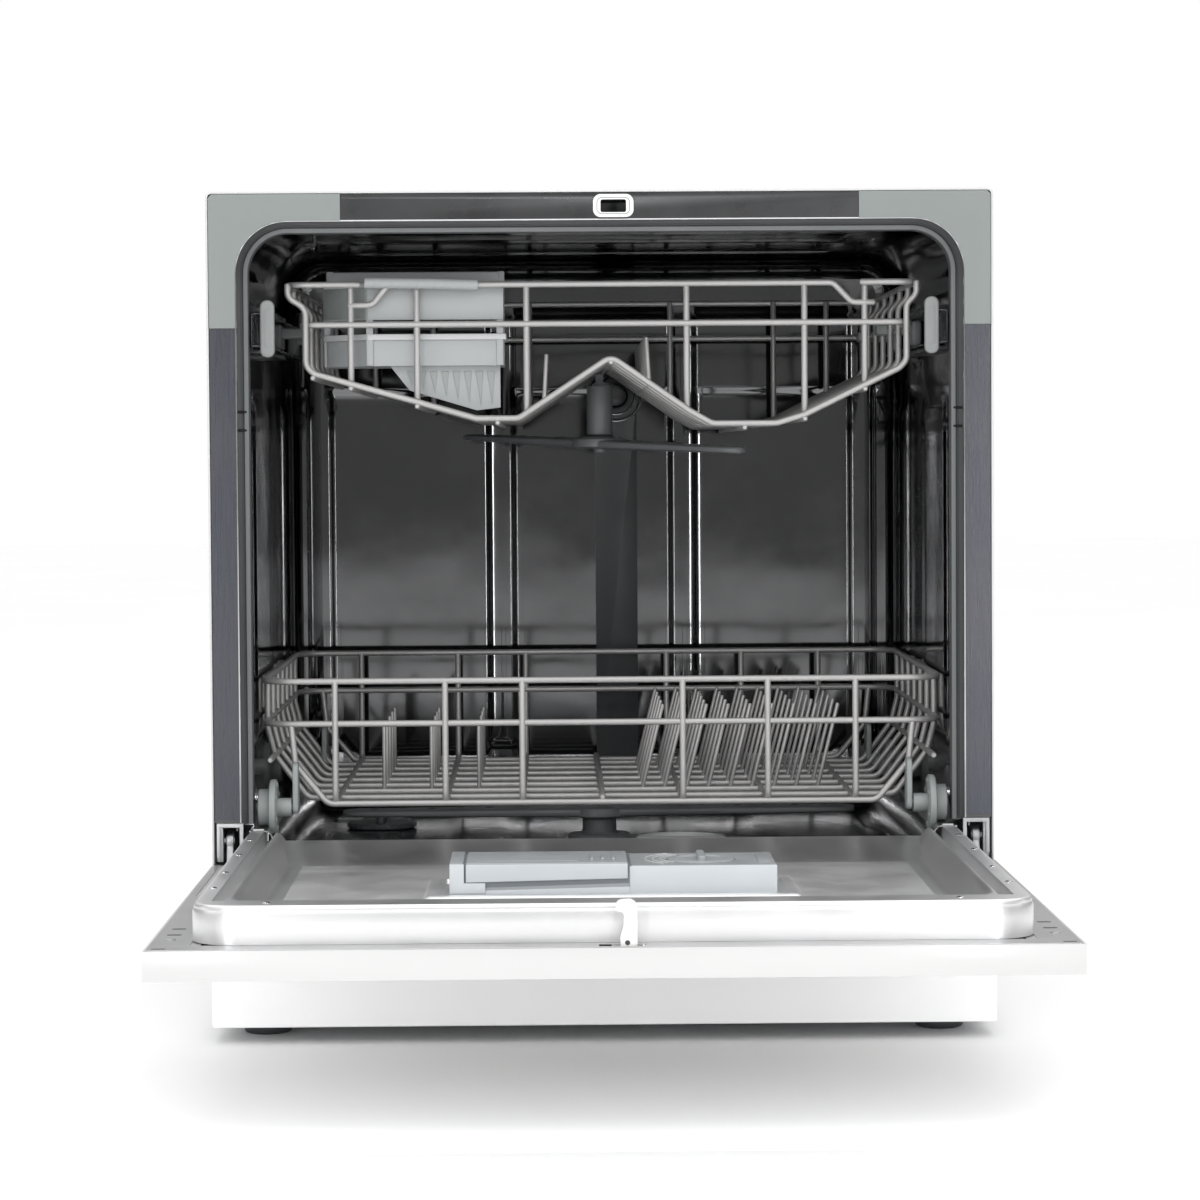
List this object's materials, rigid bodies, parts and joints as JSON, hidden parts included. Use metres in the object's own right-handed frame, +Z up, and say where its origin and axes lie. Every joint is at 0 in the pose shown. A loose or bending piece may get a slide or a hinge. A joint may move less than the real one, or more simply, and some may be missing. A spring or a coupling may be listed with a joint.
{
  "type": "compact dishwasher",
  "caption": "Compact white dishwasher with a drop-down door, two sliding wire racks, rotating spray arms, a dispenser and a stainless tub.",
  "frame": {"origin": "middle of the footprint on the floor, with the door let down", "axes": "+X to the right seen from the front, +Y from the open door into the cabinet, +Z up"},
  "size_m": [0.55, 0.92, 0.595],
  "materials": {
    "white_paint": "semi-gloss",
    "stainless": "satin",
    "galvanised": "matt",
    "rack_wire": "satin",
    "grey_plastic": "matt",
    "blue_grey_plastic": "satin",
    "pale_plastic": "matt",
    "white_plastic": "gloss",
    "dark_plastic": "matt",
    "black_gloss": "gloss",
    "rubber": "matt",
    "black_rubber": "matt",
    "salt_plastic": "satin"
  },
  "bodies": {
    "cabinet": {"outer_wrap": "white_paint", "back_panel": "galvanised", "base_pan": "dark_plastic", "plinth_panel": "white_paint", "front_frame": "stainless", "corner_cover_left": "grey_plastic", "corner_cover_right": "grey_plastic", "strike_trim": "white_plastic", "door_lock": "dark_plastic", "tub": "stainless", "door_gasket": "rubber", "hinge_bracket_left": "pale_plastic", "hinge_bracket_right": "pale_plastic", "door_spring_left": "galvanised", "door_spring_right": "galvanised", "sump": "dark_plastic", "filter_plate": "stainless", "lower_arm_hub": "dark_plastic", "wash_pump": "dark_plastic", "drain_pump": "dark_plastic", "water_heater": "stainless", "water_softener": "pale_plastic", "inlet_valve": "white_plastic", "drain_spigot": "dark_plastic", "cord_gland": "black_rubber", "feed_duct": "dark_plastic", "rail_bearing_left": "pale_plastic", "rail_bearing_right": "pale_plastic"},
    "door": {"door_outer_panel": "white_paint", "door_liner": "stainless", "hinge_arm_left": "galvanised", "hinge_arm_right": "galvanised", "dispenser_body": "blue_grey_plastic", "control_fascia": "white_plastic", "display_window": "black_gloss"},
    "upper_rack_body": {"upper_rack": "rack_wire", "rack_handle": "grey_plastic", "cutlery_basket": "grey_plastic", "upper_feed_pipe": "grey_plastic"},
    "lower_rack_body": {"lower_rack": "rack_wire"},
    "foot_front_left_body": {"foot_front_left": "black_rubber"},
    "foot_front_right_body": {"foot_front_right": "black_rubber"},
    "filter_cup_body": {"filter_cup": "grey_plastic"},
    "salt_cap_body": {"salt_cap": "salt_plastic"},
    "upper_rail_left_body": {"upper_rail_left": "stainless"},
    "upper_rail_right_body": {"upper_rail_right": "stainless"},
    "rail_stop_cap_left_body": {"rail_stop_cap_left": "pale_plastic"},
    "rail_stop_cap_right_body": {"rail_stop_cap_right": "pale_plastic"},
    "upper_spray_arm_body": {"upper_spray_arm": "grey_plastic"},
    "lower_spray_arm_body": {"lower_spray_arm": "grey_plastic"},
    "rack_wheel_front_left_body": {"rack_wheel_front_left": "pale_plastic"},
    "rack_wheel_front_right_body": {"rack_wheel_front_right": "pale_plastic"},
    "rack_wheel_rear_left_body": {"rack_wheel_rear_left": "pale_plastic"},
    "rack_wheel_rear_right_body": {"rack_wheel_rear_right": "pale_plastic"},
    "dispenser_lid_body": {"dispenser_lid": "blue_grey_plastic"},
    "rinse_aid_cap_body": {"rinse_aid_cap": "blue_grey_plastic"},
    "latch_hook_body": {"latch_hook": "white_plastic"},
    "power_button_body": {"power_button": "pale_plastic"},
    "program_button_body": {"program_button": "pale_plastic"},
    "start_button_body": {"start_button": "pale_plastic"}
  },
  "joints": [
    {"name": "door_hinge", "type": "hinge", "parent": "cabinet", "child": "door", "pos_m": [0, -0.009, 0.14], "axis": [1, 0, 0], "range_deg": [-90, 0]},
    {"name": "lower_rack_slide", "type": "slide", "parent": "cabinet", "child": "lower_rack_body", "axis": [0, -1, 0], "range_m": [0, 0.3]},
    {"name": "upper_rack_slide", "type": "slide", "parent": "cabinet", "child": "upper_rack_body", "axis": [0, -1, 0], "range_m": [0, 0.3]},
    {"name": "upper_rail_left_slide", "type": "slide", "parent": "cabinet", "child": "upper_rail_left_body", "axis": [0, -1, 0], "range_m": [0, 0.15]},
    {"name": "upper_rail_right_slide", "type": "slide", "parent": "cabinet", "child": "upper_rail_right_body", "axis": [0, -1, 0], "range_m": [0, 0.15]},
    {"name": "stop_cap_left_flip", "type": "hinge", "parent": "upper_rail_left_body", "child": "rail_stop_cap_left_body", "pos_m": [-0.24, 0.0096, 0.5], "axis": [0, 0, -1], "range_deg": [0, 90]},
    {"name": "stop_cap_right_flip", "type": "hinge", "parent": "upper_rail_right_body", "child": "rail_stop_cap_right_body", "pos_m": [0.24, 0.0096, 0.5], "axis": [0, 0, 1], "range_deg": [0, 90]},
    {"name": "rack_wheel_front_left_spin", "type": "hinge", "parent": "lower_rack_body", "child": "rack_wheel_front_left_body", "pos_m": [-0.241, 0.014, 0.161], "axis": [1, 0, 0], "range_deg": [-10, 1340]},
    {"name": "rack_wheel_front_right_spin", "type": "hinge", "parent": "lower_rack_body", "child": "rack_wheel_front_right_body", "pos_m": [0.241, 0.014, 0.161], "axis": [1, 0, 0], "range_deg": [-10, 1340]},
    {"name": "rack_wheel_rear_left_spin", "type": "hinge", "parent": "lower_rack_body", "child": "rack_wheel_rear_left_body", "pos_m": [-0.241, 0.348, 0.161], "axis": [1, 0, 0], "range_deg": [-10, 1340]},
    {"name": "rack_wheel_rear_right_spin", "type": "hinge", "parent": "lower_rack_body", "child": "rack_wheel_rear_right_body", "pos_m": [0.241, 0.348, 0.161], "axis": [1, 0, 0], "range_deg": [-10, 1340]},
    {"name": "upper_arm_spin", "type": "hinge", "parent": "upper_rack_body", "child": "upper_spray_arm_body", "pos_m": [0.002, 0.193, 0.418], "axis": [0, 0, 1], "continuous": true},
    {"name": "lower_arm_spin", "type": "hinge", "parent": "cabinet", "child": "lower_spray_arm_body", "pos_m": [0, 0.208, 0.138], "axis": [0, 0, 1], "continuous": true},
    {"name": "dispenser_lid_hinge", "type": "hinge", "parent": "door", "child": "dispenser_lid_body", "pos_m": [-0.04, -0.1925, 0.1506], "axis": [1, 0, 0], "range_deg": [-100, 0]},
    {"name": "rinse_cap_twist", "type": "hinge", "parent": "door", "child": "rinse_aid_cap_body", "pos_m": [0.06, -0.222, 0.149], "axis": [0, 0, 1], "range_deg": [0, 90]},
    {"name": "latch_hook_slide", "type": "slide", "parent": "door", "child": "latch_hook_body", "axis": [1, 0, 0], "range_m": [0, 0.0025], "stiffness_N_per_m": 800},
    {"name": "filter_cup_twist", "type": "hinge", "parent": "cabinet", "child": "filter_cup_body", "pos_m": [0.06, 0.143, 0.12], "axis": [0, 0, 1], "range_deg": [0, 60]},
    {"name": "salt_cap_twist", "type": "hinge", "parent": "cabinet", "child": "salt_cap_body", "pos_m": [-0.17, 0.278, 0.124], "axis": [0, 0, 1], "range_deg": [0, 330]},
    {"name": "foot_left_turn", "type": "hinge", "parent": "cabinet", "child": "foot_front_left_body", "pos_m": [-0.24, 0.018, 0.004], "axis": [0, 0, 1], "continuous": true},
    {"name": "foot_right_turn", "type": "hinge", "parent": "cabinet", "child": "foot_front_right_body", "pos_m": [0.24, 0.018, 0.004], "axis": [0, 0, 1], "continuous": true},
    {"name": "power_button_press", "type": "slide", "parent": "door", "child": "power_button_body", "axis": [0, 0, 1], "range_m": [0, 0.0015], "stiffness_N_per_m": 400},
    {"name": "program_button_press", "type": "slide", "parent": "door", "child": "program_button_body", "axis": [0, 0, 1], "range_m": [0, 0.0015], "stiffness_N_per_m": 400},
    {"name": "start_button_press", "type": "slide", "parent": "door", "child": "start_button_body", "axis": [0, 0, 1], "range_m": [0, 0.0015], "stiffness_N_per_m": 400}
  ],
  "couplings": [
    {"joint": "upper_rail_left_slide", "follows": "upper_rack_slide", "ratio": 0.5},
    {"joint": "upper_rail_right_slide", "follows": "upper_rack_slide", "ratio": 0.5},
    {"joint": "rack_wheel_front_left_spin", "follows": "lower_rack_slide", "rad_per_m": 76.923},
    {"joint": "rack_wheel_front_right_spin", "follows": "lower_rack_slide", "rad_per_m": 76.923},
    {"joint": "rack_wheel_rear_left_spin", "follows": "lower_rack_slide", "rad_per_m": 76.923},
    {"joint": "rack_wheel_rear_right_spin", "follows": "lower_rack_slide", "rad_per_m": 76.923}
  ]
}
